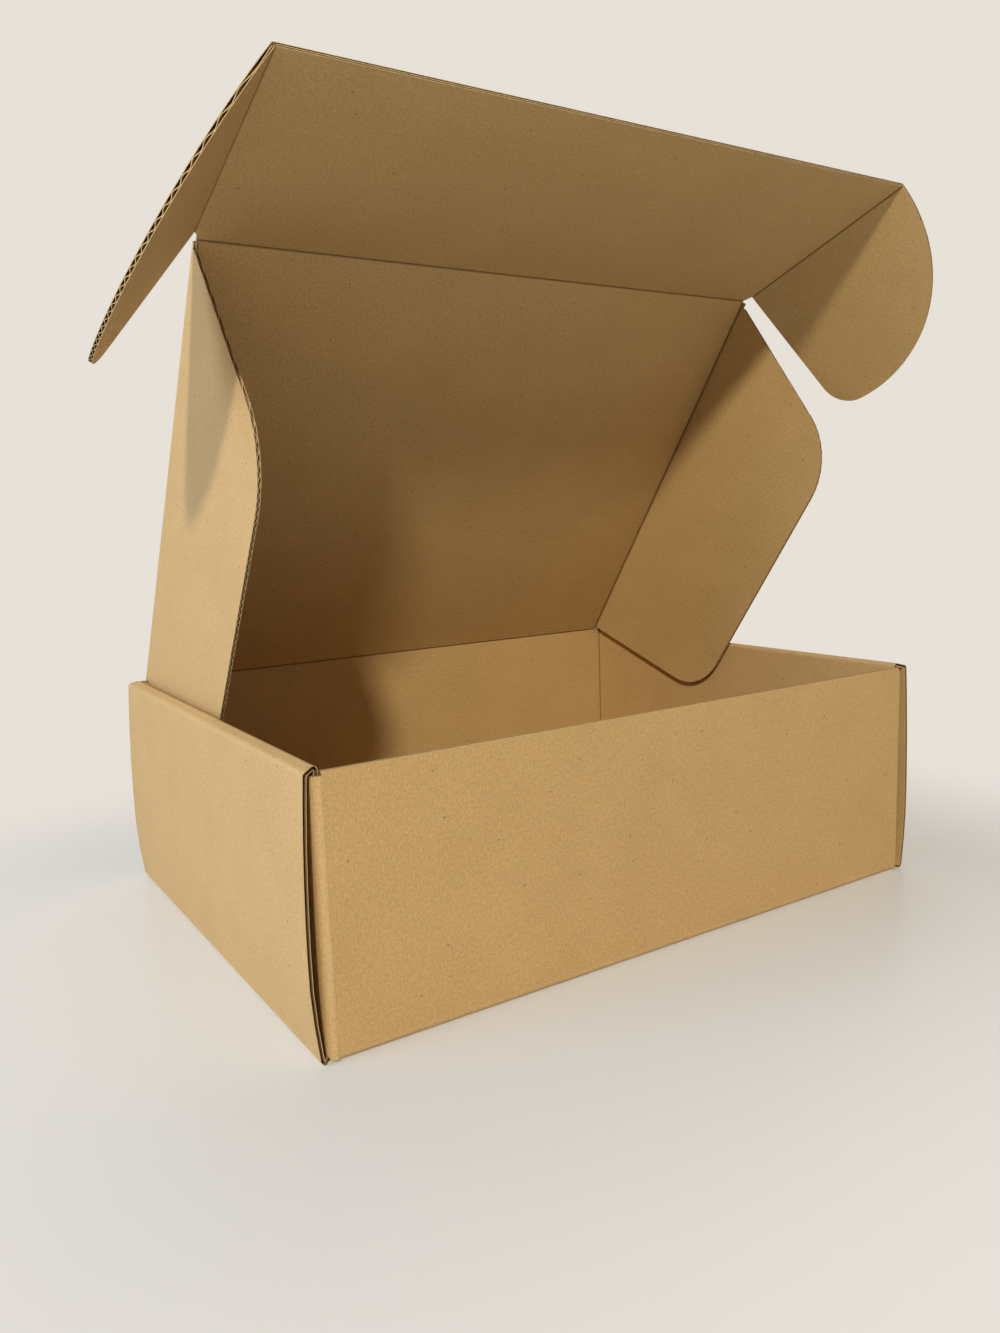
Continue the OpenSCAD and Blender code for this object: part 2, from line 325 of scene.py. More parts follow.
def kraft_liner(name, pale, dark, crease_stretch_and_shade, crease_share):
    """Liner in two tones of brown. On a fold the fold colour covers this share of them; on the inner liner
    it is painted crease shade.
    """
    material, tree = blank_material(name)
    sheet = add(tree, "ShaderNodeUVMap", uv_map="sheet_mm").outputs["UV"]
    mottle, paper, pulp = pulp_pattern(tree, sheet)
    tone = add(tree, "ShaderNodeMapRange", {
        "Value": pulp, "From Min": PULP_RANGE[0], "From Max": PULP_RANGE[1],
    })
    fibre = add(tree, "ShaderNodeMix", {
        MIX_SHARE: tone.outputs[0], MIX_FIRST: linear(dark), MIX_SECOND: linear(pale),
    }, data_type="RGBA")
    cell = add(tree, "ShaderNodeTexVoronoi", {
        "Vector": sheet, "Scale": 1 / SPECK_CELL_MM,
    }, voronoi_dimensions="2D")
    bark = add(tree, "ShaderNodeMapRange", {
        "Value": cell.outputs["Distance"], "From Min": 0.0, "From Max": SPECK_MM / SPECK_CELL_MM,
        "To Min": BARK_SHARE, "To Max": 0.0,
    })
    specked = add(tree, "ShaderNodeMix", {
        MIX_SHARE: bark.outputs[0], MIX_FIRST: fibre.outputs[MIX_RESULT], MIX_SECOND: linear(BARK),
    }, data_type="RGBA")
    # On a fold the fold colour is mixed in: paler stretched paper outside, painted crease shade inside.
    fold = add(tree, "ShaderNodeAttribute", attribute_name="fold")
    fold_stretch_and_shade = add(tree, "ShaderNodeMath", {
        0: fold.outputs["Fac"], 1: crease_share,
    }, operation="MULTIPLY")
    folded = add(tree, "ShaderNodeMix", {
        MIX_SHARE: fold_stretch_and_shade.outputs[0], MIX_FIRST: specked.outputs[MIX_RESULT],
        MIX_SECOND: linear(crease_stretch_and_shade),
    }, data_type="RGBA")
    across = add(tree, "ShaderNodeSeparateXYZ", {0: sheet})
    phase = add(tree, "ShaderNodeMath", {
        0: across.outputs[1], 1: 2 * math.pi / FLUTE_MM,
    }, operation="MULTIPLY")
    wash = add(tree, "ShaderNodeMath", {0: phase.outputs[0]}, operation="COSINE")
    relief = add(tree, "ShaderNodeMath", {
        0: wash.outputs[0], 1: WASHBOARD, 2: paper,
    }, operation="MULTIPLY_ADD")
    bump = add(tree, "ShaderNodeBump", {
        "Strength": 0.8, "Distance": PAPER_RELIEF, "Height": relief.outputs[0],
    })
    gloss = add(tree, "ShaderNodeMapRange", {
        "Value": mottle, "To Min": PAPER_ROUGHNESS[0], "To Max": PAPER_ROUGHNESS[1],
    })
    shader = add(tree, "ShaderNodeBsdfPrincipled", {
        "Base Color": folded.outputs[MIX_RESULT], "Roughness": gloss.outputs[0], "IOR": 1.45,
        "Specular IOR Level": 0.3, "Normal": bump.outputs[0],
    })
    add(tree, "ShaderNodeOutputMaterial", {"Surface": shader.outputs[0]})
    return material


finishes[OUTSIDE] = kraft_liner("kraft_liner_outside", "#D2AE79", "#B6925D", "#D8BB90", 0.12)
# The inner liner's dark fold colour is painted shade for the crease's groove.
finishes[INSIDE] = kraft_liner("kraft_liner_inside", "#CCAA74", "#B08F59", "#6E4E28", 0.8)
print("liners:", [finishes[side].name for side in (OUTSIDE, INSIDE)])

# %% [markdown]
# The medium is recycled paper, greyer and rougher than the liner. The cut edge is where a steel rule
# chopped through all three papers: torn fibres stand up there, so it is paler and completely matt.
# Fibre ends are too fine to show, so their grain is drawn 0.5 to 0.8 mm wide. Both papers differ
# only in colour and grain, so one function makes them.

# %% Fluting medium and cut edge
GRAIN_RANGE = (0.3, 0.7)
GRAIN_RELIEF = 0.05 * MM


def raw_paper(name, light, dark, grain_mm):
    material, tree = blank_material(name)
    sheet = add(tree, "ShaderNodeUVMap", uv_map="sheet_mm").outputs["UV"]
    grain = add(tree, "ShaderNodeTexNoise", {"Vector": sheet, "Scale": 1 / grain_mm, "Detail": 3.0})
    tone = add(tree, "ShaderNodeMapRange", {
        "Value": grain.outputs[0], "From Min": GRAIN_RANGE[0], "From Max": GRAIN_RANGE[1],
    })
    colour = add(tree, "ShaderNodeMix", {
        MIX_SHARE: tone.outputs[0], MIX_FIRST: linear(dark), MIX_SECOND: linear(light),
    }, data_type="RGBA")
    bump = add(tree, "ShaderNodeBump", {
        "Strength": 0.6, "Distance": GRAIN_RELIEF, "Height": grain.outputs[0],
    })
    shader = add(tree, "ShaderNodeBsdfPrincipled", {
        "Base Color": colour.outputs[MIX_RESULT], "Roughness": 0.95, "Specular IOR Level": 0.15,
        "Normal": bump.outputs[0],
    })
    add(tree, "ShaderNodeOutputMaterial", {"Surface": shader.outputs[0]})
    return material


finishes[FLUTING] = raw_paper("recycled_fluting_medium", "#9C7C50", "#81633B", 0.8)
finishes[CUT] = raw_paper("die_cut_paper_edge", "#D8BE94", "#BE9C6A", 0.5)
print("papers:", [finishes[side].name for side in (FLUTING, CUT)])

# %% [markdown]
# Walls and flaps are drawn as paths along the middle of the board, with each corner turned into an
# arc. A bevel modifier could round the folds instead, but an arc of known radius keeps both liners
# parallel, as they are on a creased sheet, and tells which points lie on the fold. Beside each fold
# a point 0.8 mm off ends its mark, so the crease colour fades there.

# %% Paths with round folds
ARC_STEP = math.radians(9)
FOLD_FADE = 0.8 * MM
SAME_POINT = MM / 1000


def unit(vector):
    return vector / np.linalg.norm(vector)


def rounded_path(corners):
    """Points through (x, y, radius) corners, and 1 for each point on a fold."""
    points, fold = [], []
    for i, (x, y, radius) in enumerate(corners):
        here = np.array((x, y))
        if radius == 0:
            points.append(here)
            fold.append(0.0)
            continue
        back, ahead = np.array(corners[i - 1][:2]) - here, np.array(corners[i + 1][:2]) - here
        before, after = unit(back), unit(ahead)
        half = math.acos(before @ after) / 2
        reach = radius / math.tan(half)
        centre = here + unit(before + after) * radius / math.sin(half)
        first = here + before * reach - centre
        last = here + after * reach - centre
        turn = math.atan2(first[0] * last[1] - first[1] * last[0], first @ last)
        steps = max(2, math.ceil(abs(turn) / ARC_STEP))
        if np.linalg.norm(back) > reach + FOLD_FADE:
            points.append(centre + first + before * FOLD_FADE)
            fold.append(0.0)
        for k in range(steps + 1):
            c, s = math.cos(turn * k / steps), math.sin(turn * k / steps)
            points.append(centre + np.array((c * first[0] - s * first[1], s * first[0] + c * first[1])))
            fold.append(1.0)
        if np.linalg.norm(ahead) > reach + FOLD_FADE:
            points.append(centre + last + after * FOLD_FADE)
            fold.append(0.0)
    points, fold = np.array(points), np.array(fold)
    apart = np.append(np.linalg.norm(np.diff(points, axis=0), axis=1) > SAME_POINT, True)
    return points[apart], fold[apart]


def run_length(path):
    """How far along a path each of its points lies."""
    return np.concatenate([[0], np.cumsum(np.linalg.norm(np.diff(path, axis=0), axis=1))])


def right_normals(path):
    """Unit normals to the right of a path's run."""
    runs = np.diff(path, axis=0)
    runs /= np.linalg.norm(runs, axis=1)[:, None]
    tangents = np.vstack([runs[:1], runs[:-1] + runs[1:], runs[-1:]])
    tangents /= np.linalg.norm(tangents, axis=1)[:, None]
    return np.stack([tangents[:, 1], -tangents[:, 0]], -1)


# %% [markdown]
# The bottom and both side walls are one strip of the sheet: up the bowed outer panel, over the
# rolled top and down the inner panel, whose lock tabs stand in slots in the bottom. The strip is a
# section swept along Y. Its flutes follow the section, so a cut end shows straight lines of paper.

# %% Section of the side walls
side_bow, bow_height = 2.5 * MM, 34 * MM
side_gap = 1.6 * MM
hinge_drop, roll_rise = 1 * MM, 1.6 * MM
ear_clear, layer_clear, slot_clear = 0.3 * MM, 0.2 * MM, 0.4 * MM
fold_inside_r, roll_inside_r = 1 * MM, 0.4 * MM
fold_r = fold_inside_r + half_t
roll_r = roll_inside_r + half_t
inner_face = ear_x + ear_clear + half_t
inner_mid = inner_face + half_t
corner_face = inner_face + 2 * board_t + layer_clear
outer_mid = corner_face + side_gap + half_t
BOW_STEPS = 8

roll_z = hinge_z + hinge_drop - half_t
panel_foot, panel_top = half_t + fold_r, roll_z - roll_rise
widest = (bow_height - panel_foot) / (panel_top - panel_foot)
bow = []
for step in range(1, BOW_STEPS):
    u = step / BOW_STEPS
    off = (u - widest) / (widest if u < widest else 1 - widest)
    bow.append((outer_mid + side_bow * (1 - off * off), panel_foot + (panel_top - panel_foot) * u, 0))
right_path, right_fold = rounded_path([
    (0, half_t, 0),
    (inner_face - slot_clear, half_t, 0),
    (inner_face + board_t + slot_clear, half_t, 0),
    (outer_mid, half_t, fold_r),
    *bow,
    (outer_mid, panel_top, roll_r),
    (inner_mid, roll_z, roll_r),
    (inner_mid, board_t + layer_clear, 0),
    (inner_mid, layer_clear, 0),
])
mirror = np.array((-1, 1))
side_path = np.vstack([right_path[:0:-1] * mirror, right_path])
side_fold = np.concatenate([right_fold[:0:-1], right_fold])
side_out = right_normals(side_path)
side_run = run_length(side_path)
print(f"side strip: {len(side_path)} points, {side_run[-1] / MM:.0f} mm of sheet")

# %% [markdown]
# The sweep could be a plain extrusion, but the rows of the section end at different depths: the
# bottom stops where the front and back walls fold up, and the side walls slant from the outer panel
# to the shorter inner one. So each row has its own end, and a station is a share of it.

# %% Ends of the side strip
HAIR = MM / 100
box_face = tray_high[1]
base_end = wall_mid - fold_r
corner_inside_r = 1.8 * MM
fold_room = corner_inside_r - math.sqrt(layer_clear * (2 * corner_inside_r - layer_clear))
side_setback, inner_setback = 0.4 * MM, 0.1 * MM
outer_end = box_face - side_setback
inner_end = box_face - board_t - fold_room - inner_setback

side_x_abs = np.abs(side_path[:, 0])
on_bottom = (side_x_abs < outer_mid - fold_r + HAIR) & (side_path[:, 1] < half_t + HAIR)
slanted = np.interp(side_x_abs, (inner_mid + half_t, outer_mid - half_t), (inner_end, outer_end))
side_end = np.where(on_bottom, base_end, slanted)


def side_sheet(across):
    """Stations across are shares of each row's own half depth, times the bottom's half depth."""
    share = across[:, None] / base_end
    shape = (len(across), len(side_path))
    x, z, nx, nz, run, fold = (
        np.broadcast_to(row, shape) for row in (*side_path.T, *side_out.T, side_run, side_fold)
    )
    mid = np.stack([x, share * side_end, z], -1)
    out = np.stack([nx, np.zeros(shape), nz], -1)
    sheet_mm = np.stack([run, np.broadcast_to(across[:, None], shape)], -1) / MM
    return mid, out, sheet_mm, fold


print(f"half depths: bottom {base_end / MM:.1f}, outer {outer_end / MM:.1f}, inner {inner_end / MM:.1f} mm")

# %% [markdown]
# Two tabs on each inner panel lock the tray: they stand in slots that the die has cut in the bottom.
# A boolean modifier could cut the slots, but here they are just cells of the strip that are left
# out, and so are the gaps between the tabs. The medium shows only along the strip's cut ends, so it
# is made from 2 to 12 mm off them and nowhere else.

# %% Slots, tabs and sweep
lock_middle, lock_half = 59 * MM, 19 * MM
CORE_SET, CORE_REACH = 2 * MM, 12 * MM
# Between the cuts, these stations keep the strip's faces from getting too long.
EXTRA_STATIONS = (20 * MM, lock_middle, 95 * MM)

slot_ends = [lock_middle - lock_half - slot_clear, lock_middle + lock_half + slot_clear]
tab_ends = [
    (lock_middle - lock_half) * base_end / inner_end,
    (lock_middle + lock_half) * base_end / inner_end,
]
half_stations = sorted([0, *EXTRA_STATIONS, *slot_ends, *tab_ends, base_end])
side_stations = np.array([-s for s in half_stations[:0:-1]] + half_stations)
middles = np.abs(side_stations[:-1] + side_stations[1:]) / 2
in_slot = (middles > slot_ends[0]) & (middles < slot_ends[1])
in_tab = (middles > tab_ends[0]) & (middles < tab_ends[1])
row_x = np.abs(side_path[:-1, 0] + side_path[1:, 0]) / 2
slot_row = on_bottom[:-1] & on_bottom[1:] & (row_x > inner_face - slot_clear)
slot_row &= row_x < inner_face + board_t + slot_clear
side_keep = ~(in_slot[:, None] & slot_row[None, :])
for row in (0, len(side_path) - 2):
    side_keep[:, row] = in_tab
side_cores = [(CORE_SET - base_end, CORE_REACH - base_end), (base_end - CORE_REACH, base_end - CORE_SET)]
side_layers = fluted_board(side_sheet, side_stations, side_cores, side_keep)
print(f"side strip: {face_count(side_layers)} faces")

# %% [markdown]
# The front and back walls fold up from the bottom, and their flutes lie flat along the wall. The
# wave then runs up the section, so the same path serves twice: at its own points for the liners and
# at eight stations a wave for the medium. The back wall stops short under the lid's crease, which
# is made later, and keeps a small shoulder at each end.

# %% Front and back walls
SCORE = 0.95 * MM
front_drop = 1 * MM
front_top = hinge_z - front_drop
corner_fold_r = corner_inside_r + half_t
wall_half_w = corner_face - half_t - corner_fold_r


def wall_layers(side, top, crease_drop=0):
    """The wall at the front (-1) or back (1), with room for a crease at its top if it has one."""
    path, fold = rounded_path([(base_end, half_t, 0), (wall_mid, half_t, fold_r), (wall_mid, top, 0)])
    out = right_normals(path)
    run = run_length(path)
    width = np.array((-wall_half_w, -dust_x, dust_x, wall_half_w))

    def sheet(across):
        y, z, ny, nz, f = (np.interp(across, run, row) for row in (*path.T, *out.T, fold))
        shape = (len(across), len(width))
        mid = np.stack(np.broadcast_arrays(width, side * y[:, None], z[:, None]), -1)
        normal = np.stack(np.broadcast_arrays(np.zeros(shape), side * ny[:, None], nz[:, None]), -1)
        sheet_mm = np.stack(np.broadcast_arrays(width, across[:, None] + side * base_end), -1) / MM
        return mid, normal, sheet_mm, np.broadcast_to(f[:, None], shape)

    if crease_drop == 0:
        return fluted_board(sheet, run, [(0, run[-1])])
    stations = np.insert(run, -1, run[-1] - crease_drop)
    keep = np.ones((len(stations) - 1, len(width) - 1), bool)
    keep[-1, 1] = False
    return fluted_board(sheet, stations, [(0, run[-1] - crease_drop)], keep)


front_layers = wall_layers(-1, front_top)
back_layers = wall_layers(1, hinge_z, SCORE)
print(f"walls: {face_count(front_layers + back_layers)} faces")

# %% [markdown]
# Each end of the front and back walls turns a corner into a flap that is trapped between the two
# side panels. Little of it shows, but it fills the dark slit beside the outer panel, and its round
# fold catches the light on the front edges. Flutes run along it, so the wave is up the wall. At the
# back the fold keeps the wall's height as far as the rolled top, so no hole shows beside the lid.
# At the foot the first part of each fold reaches lower, where crumpled liner closes a real corner.

# %% Corner flaps
corner_mid = corner_face - half_t
corner_flap_len = 62 * MM
corner_drop, corner_rise = 1.7 * MM, 0.6 * MM
corner_slope = math.tan(math.radians(2.5))
corner_top, corner_foot = front_top - corner_drop, board_t + corner_rise
shoulder_drop, shoulder_share = 0.1 * MM, 0.6
heel, heel_shares = 0.8 * MM, (0.6, 0.7)
# How much painted crease shade darkens the inner liner on each corner fold.
CORNER_CREASE_SHADE = 0.7


def corner_layers(side_x, side_y):
    """The fold and the trapped flap at one corner; the sides are -1 or 1."""
    path, fold = rounded_path([
        (wall_half_w, wall_mid, 0),
        (corner_mid, wall_mid, corner_fold_r),
        (corner_mid, box_face - corner_flap_len, 0),
    ])
    out = -right_normals(path)
    run = run_length(path)
    drop = np.clip(run - run[-2], 0, None) * corner_slope
    turned = run[-2] - FOLD_FADE
    shoulder = hinge_z - shoulder_drop - corner_top if side_y > 0 else 0
    rise = np.interp(run, (shoulder_share * turned, turned), (shoulder, 0))
    foot = np.interp(run, np.multiply(heel_shares, turned), (heel, corner_foot))

    def sheet(across):
        share = ((across - corner_foot) / (corner_top - corner_foot))[:, None]
        shape = (len(across), len(path))
        z = foot + drop + share * (corner_top + rise - foot - 2 * drop)
        x, y, nx, ny = (np.broadcast_to(row, shape) for row in (*path.T, *out.T))
        mid = np.stack([side_x * x, side_y * y, z], -1)
        normal = np.stack([side_x * nx, side_y * ny, np.zeros(shape)], -1)
        sheet_mm = np.stack([np.broadcast_to(wall_half_w + run, shape), z + side_y * base_end], -1) / MM
        return mid, normal, sheet_mm, np.broadcast_to(fold, shape)

    height = (corner_foot, corner_top)
    return fluted_board(sheet, height, [height], inner_crease_shade=CORNER_CREASE_SHADE)


tray_layers = side_layers + front_layers + back_layers
for side_x in (-1, 1):
    for side_y in (-1, 1):
        tray_layers += corner_layers(side_x, side_y)
tray_board = mesh_piece("tray_board", tray_layers)
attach(tray_board, "tray")
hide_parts("tray")

# %% [markdown]
# Every flap of the lid is a flat sheet in its own plane: an origin on its crease, one direction
# along the flutes and one across them. A flap's outline is then just how far each flute reaches,
# so a round corner is a list of reaches and the flutes are trimmed to it, as the cutting die does.
# The lid reaches to the dust flaps' creases, and a little further at its own four corners.

# %% Flat flaps and lid
FLUTE_PARTS = 4
# Flaps that point another way take their pattern from another part of the sheet.
SHEET_SHIFT_MM = np.array((400, 600))
CREASE_END = 1.2 * MM
CORNER_STEP = 0.01 * MM


def flat_sheet(origin, along, across_dir, out, reach):
    """A sheet whose flutes run from reach(v)[0] to reach(v)[1] at each station v."""
    shares = np.linspace(0, 1, FLUTE_PARTS + 1)

    def sheet(across):
        start, end = (np.broadcast_to(edge, across.shape)[:, None] for edge in reach(across))
        u = start + (end - start) * shares
        v = np.broadcast_to(across[:, None], u.shape)
        mid = origin + u[..., None] * along + v[..., None] * across_dir
        sheet_mm = np.stack([u, v], -1) / MM + SHEET_SHIFT_MM * (along[0], along[2])
        return mid, np.broadcast_to(out, mid.shape), sheet_mm, np.zeros(u.shape)

    return sheet


def flap_piece(name, sheet, stations, cores):
    piece = mesh_piece(name + "_board", fluted_board(sheet, stations, cores))
    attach(piece, name)
    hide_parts(name)


dust_crease = np.array((CREASE_END, lid_len - CREASE_END))


def lid_reach(v):
    half = np.where((v > dust_crease[0]) & (v < dust_crease[1]), dust_x - SCORE, dust_x)
    return -half, half


lid_span = (SCORE, lid_len - SCORE)
lid_corners = (*(dust_crease - CORNER_STEP), *(dust_crease + CORNER_STEP))
lid_stations = np.sort([*lid_span, *lid_corners, lid_len / 2])
flap_piece("lid", flat_sheet(lid_crease, RIGHT, lid_dir, -lid_in, lid_reach), lid_stations, [lid_span])

# %% [markdown]
# The tuck flap widens from the lid's width to the ears' creases, because the ears slide down outside
# the dust flaps. Its free edge is a plain cut, parallel to the flutes.

# %% Tuck flap
tuck_floor_clear = 1.3 * MM
tuck_len = hinge_z - board_t - tuck_floor_clear
ear_set = 4.4 * MM


def tuck_reach(v):
    half = np.interp(v, (SCORE, ear_set), (dust_x, ear_x - SCORE))
    return -half, half


tuck_sheet = flat_sheet(tuck_crease, RIGHT, tuck_dir, -tuck_in, tuck_reach)
flap_piece("tuck_flap", tuck_sheet, (SCORE, ear_set, tuck_len / 2, tuck_len), [(SCORE, tuck_len)])

# %% [markdown]
# A dust flap hangs from the lid's side. Its flutes point away from the crease, so its cut edge shows
# the wave: this is the edge at the left of the photograph. The ends taper by 17.5 degrees and the
# corners are wide arcs. The left flap is the right one mirrored.

# %% Dust flaps
dust_end_set = 2.6 * MM
dust_floor_clear = 2.2 * MM
dust_back_r, dust_front_r = 30 * MM, 34 * MM
dust_taper = math.tan(math.radians(17.5))
dust_span = (dust_end_set + SCORE, lid_len - dust_end_set - SCORE)
dust_depth = hinge_z - half_t - board_t - dust_floor_clear
dust_outline, _ = rounded_path([
    (dust_end_set, 0, 0),
    (dust_end_set + dust_depth * dust_taper, dust_depth, dust_back_r),
    (lid_len - dust_end_set - dust_depth * dust_taper, dust_depth, dust_front_r),
    (lid_len - dust_end_set, 0, 0),
])
dust_stations = sorted([*dust_span, *dust_outline[1:-1, 0]])


def dust_reach(v):
    return SCORE, np.interp(v, *dust_outline.T)


for side, name in ((-1, "left_dust_flap"), (1, "right_dust_flap")):
    middle = lid_crease + side * RIGHT * (dust_x + half_t) + lid_in * half_t
    sheet = flat_sheet(middle, lid_in, lid_dir, side * RIGHT, dust_reach)
    flap_piece(name, sheet, dust_stations, [dust_span])

# %% [markdown]
# An ear is half a round: a nearly straight edge beside the lid, a 15 mm corner, then an arc down to
# the tuck flap's free edge. It could be cut from a disc, but as a list of reaches it gets the same
# flutes as the other flaps. Its fold is the joint's upper limit, where the ear would lie flat again.

# %% Ears
ear_centre = 22 * MM
ear_corner_r = 15 * MM
ear_r = tuck_len - ear_centre
ear_slope = math.tan(math.radians(1))
SLOPE_FADE = 4
EAR_TRIM = MM / 20
CORNER_POINTS, ROUND_POINTS = 16, 40
corner_s = ear_set + ear_corner_r - ear_centre
corner_w = math.sqrt((ear_r - ear_corner_r) ** 2 - corner_s ** 2)
meet = math.atan2(corner_s, corner_w)
corner_turn = np.linspace(-math.pi / 2, meet, CORNER_POINTS)
ear_turn = np.linspace(meet, math.acos(SCORE / ear_r), ROUND_POINTS)[1:]
ear_outline = np.concatenate([
    [(ear_set, SCORE)],
    np.stack([ear_centre + corner_s + ear_corner_r * np.sin(corner_turn),
              corner_w + ear_corner_r * np.cos(corner_turn)], -1),
    np.stack([ear_centre + ear_r * np.sin(ear_turn), ear_r * np.cos(ear_turn)], -1),
])
fading = np.linspace(1, 0, len(ear_outline)) ** SLOPE_FADE
ear_outline[:, 0] += (ear_outline[:, 1] - SCORE) * ear_slope * fading
ear_span = (ear_outline[0, 0] + EAR_TRIM, ear_outline[-1, 0] - EAR_TRIM)
ear_stations = [s for s in ear_outline[:, 0] if ear_span[0] < s < ear_span[1]]
ear_stations = [ear_span[0], *ear_stations, ear_span[1]]


def ear_reach(v):
    return SCORE, np.interp(v, *ear_outline.T)


ear_frame = {}
for side, name in ((-1, "left_ear"), (1, "right_ear")):
    fold = math.radians(joints[name + "_hinge"]["range_deg"][1])
    along = side * RIGHT * math.cos(fold) + tuck_in * math.sin(fold)
    out = -tuck_in * math.cos(fold) + side * RIGHT * math.sin(fold)
    ear_frame[name] = (along, out)
    sheet = flat_sheet(place[name + "_hinge"], along, tuck_dir, out, ear_reach)
    flap_piece(name, sheet, ear_stations, [ear_span])

# %% [markdown]
# A crease crushes the flutes along a 2 mm line. Outside, the liner rolls round the fold; inside, it
# buckles into a thin groove, and the groove's shade is also painted on it as a dark line between
# two panels. These strips belong to two bodies, so each bends between them: points at one end
# follow the parent, those at the other end the flap.

# %% Creases
GROOVE = 0.3 * MM
GROOVE_HALF = 0.4 * SCORE
FOLD_STEPS = 8
STRIP_POINTS = 3


def strip(name, section, normals, run_dir, span, finish):
    """A liner strip: the section, swept along its crease and bent between two bodies."""
    along = np.linspace(*span, STRIP_POINTS)
    mid = section[:, None, :] + along[None, :, None] * run_dir
    out = np.broadcast_to(normals[:, None, :], mid.shape)
    sheet_mm = np.stack(np.broadcast_arrays(along[None, :], run_length(section)[:, None]), -1) / MM
    # Fold marks: outside they give the paler stretched paper, inside the painted crease shade along the
    # groove's middle.
    crease_stretch_and_shade = np.ones(mid.shape[:2])
    if finish[0] == INSIDE:
        crease_stretch_and_shade[[0, -1]] = 0
    layer = slab((mid, out, sheet_mm, crease_stretch_and_shade), 0, -LINER, finish)
    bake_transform(mesh_piece(name, [layer]))


def crease(name, at, run_dir, span, parent, flap, r_out, r_in):
    """Both liners of a crease. parent and flap are (direction from the crease, outward normal)."""
    (parent_dir, parent_out), (flap_dir, flap_out) = parent, flap
    turn = math.acos(parent_out @ flap_out)
    shares = np.linspace(0, 1, FOLD_STEPS + 1)[:, None]
    radial = (np.sin((1 - shares) * turn) * parent_out + np.sin(shares * turn) * flap_out) / math.sin(turn)
    normals = np.vstack([parent_out, radial, flap_out])
    section = at + normals * r_out
    section[0] += parent_dir * SCORE
    section[-1] += flap_dir * SCORE
    strip(name + "_crease_outside", section, normals, run_dir, span, (OUTSIDE, CUT, CUT))
    groove = np.array([
        at + parent_dir * SCORE + parent_out * r_in,
        at + parent_dir * GROOVE_HALF + parent_out * (r_in + GROOVE),
        at + flap_dir * GROOVE_HALF + flap_out * (r_in + GROOVE),
        at + flap_dir * SCORE + flap_out * r_in,
    ])
    inward = -np.array([parent_out, parent_out, flap_out, flap_out])
    strip(name + "_crease_inside", groove, inward, run_dir, span, (INSIDE, CUT, CUT))


crease("lid", lid_crease, RIGHT, (-dust_x, dust_x),
       (-UP, BACK), (lid_dir, -lid_in), half_t, -half_t)
crease("tuck", tuck_crease, RIGHT, (-dust_x, dust_x),
       (-lid_dir, -lid_in), (tuck_dir, -tuck_in), half_t, -half_t)
for side, word in ((-1, "left"), (1, "right")):
    hinge = lid_crease + side * RIGHT * dust_x + lid_in * half_t
    crease(word + "_dust", hinge, lid_dir, dust_crease,
           (-side * RIGHT, -lid_in), (lid_in, side * RIGHT), board_t, 0)
    crease(word + "_ear", place[word + "_ear_hinge"], tuck_dir,
           (ear_set, tuck_len), (-side * RIGHT, -tuck_in), ear_frame[word + "_ear"], half_t, -half_t)

# %% [markdown]
# The stage is a pale table that sweeps up into a backdrop, so no edge crosses the picture. It is one
# path, like the walls of the box, drawn out sideways.

# %% Floor and backdrop
SWEEP_R = 0.7
SWEEP_Y = 0.9
FLOOR_FRONT, FLOOR_HALF_W, BACKDROP_TOP = -4, 5, 3
FLOOR_GAP = MM / 10

wall_y = SWEEP_Y + SWEEP_R
sweep_path, _ = rounded_path([(FLOOR_FRONT, 0, 0), (wall_y, 0, SWEEP_R), (wall_y, BACKDROP_TOP, 0)])
floor_mesh = bpy.data.meshes.new("floor")
floor_points = [(x, y, z - FLOOR_GAP) for y, z in sweep_path for x in (-FLOOR_HALF_W, FLOOR_HALF_W)]
floor_faces = [(2 * i, 2 * i + 1, 2 * i + 3, 2 * i + 2) for i in range(len(sweep_path) - 1)]
floor_mesh.from_pydata(floor_points, [], floor_faces)
floor_mesh.polygons.foreach_set("use_smooth", np.ones(len(floor_faces), bool))
floor = bpy.data.objects.new("floor", floor_mesh)
bpy.context.scene.collection.objects.link(floor)
print("floor:", len(floor_faces), "faces")

# %% [markdown]
# The table top is white lacquer with a soft gloss, which gives the box a faint reflection at its
# foot. Beside the box nearly all of it is lacquer, which holds the shadow. Over the next 200 mm it
# fades into plain pale paint that only the eye and mirror-like rays see. It could be lit with more
# lamps instead, but those would wash out the box.

# %% Table lacquer
FADE_FROM, FADE_TO = 0.0, 0.2
FADE_NEAR = 0.15
PALE_WALL = "#E7E1D8"


def seen_rays(tree):
    """1 for rays that show a thing to the eye, straight or by way of gloss or glass."""
    path = add(tree, "ShaderNodeLightPath")
    gloss = add(tree, "ShaderNodeMath", {
        0: path.outputs["Is Glossy Ray"], 1: path.outputs["Is Transmission Ray"],
    }, operation="MAXIMUM")
    seen = add(tree, "ShaderNodeMath", {
        0: path.outputs["Is Camera Ray"], 1: gloss.outputs[0],
    }, operation="MAXIMUM")
    return seen.outputs[0]


